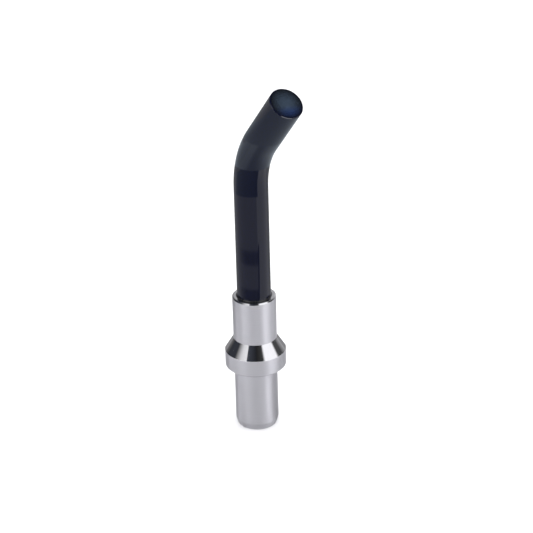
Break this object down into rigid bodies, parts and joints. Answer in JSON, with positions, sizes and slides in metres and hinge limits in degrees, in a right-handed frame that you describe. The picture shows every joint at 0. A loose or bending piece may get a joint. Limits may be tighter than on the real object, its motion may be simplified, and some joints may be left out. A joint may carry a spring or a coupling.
{
  "type": "curing light guide",
  "caption": "Bent black glass fibre-optic rod with a flat light face, bonded into a turned steel ferrule with a conical stop flange and a smooth round plug.",
  "frame": {"origin": "centre of the plug's ground end face, where the light enters", "axes": "+Z along the plug and the straight of the rod, +X the way the tip bends, so XZ is the mirror plane"},
  "size_m": [0.0239, 0.0144, 0.0892],
  "materials": {
    "stainless_steel": "satin turned barrel and sleeve, polished cone and chamfers",
    "black_epoxy": "gloss",
    "black_glass": "fire-polished gloss",
    "fused_fibre": "ground and polished"
  },
  "bodies": {
    "root": {"ferrule": "stainless_steel", "epoxy_bond": "black_epoxy", "glass_jacket": "black_glass", "fibre_core": "fused_fibre"}
  },
  "joints": []
}
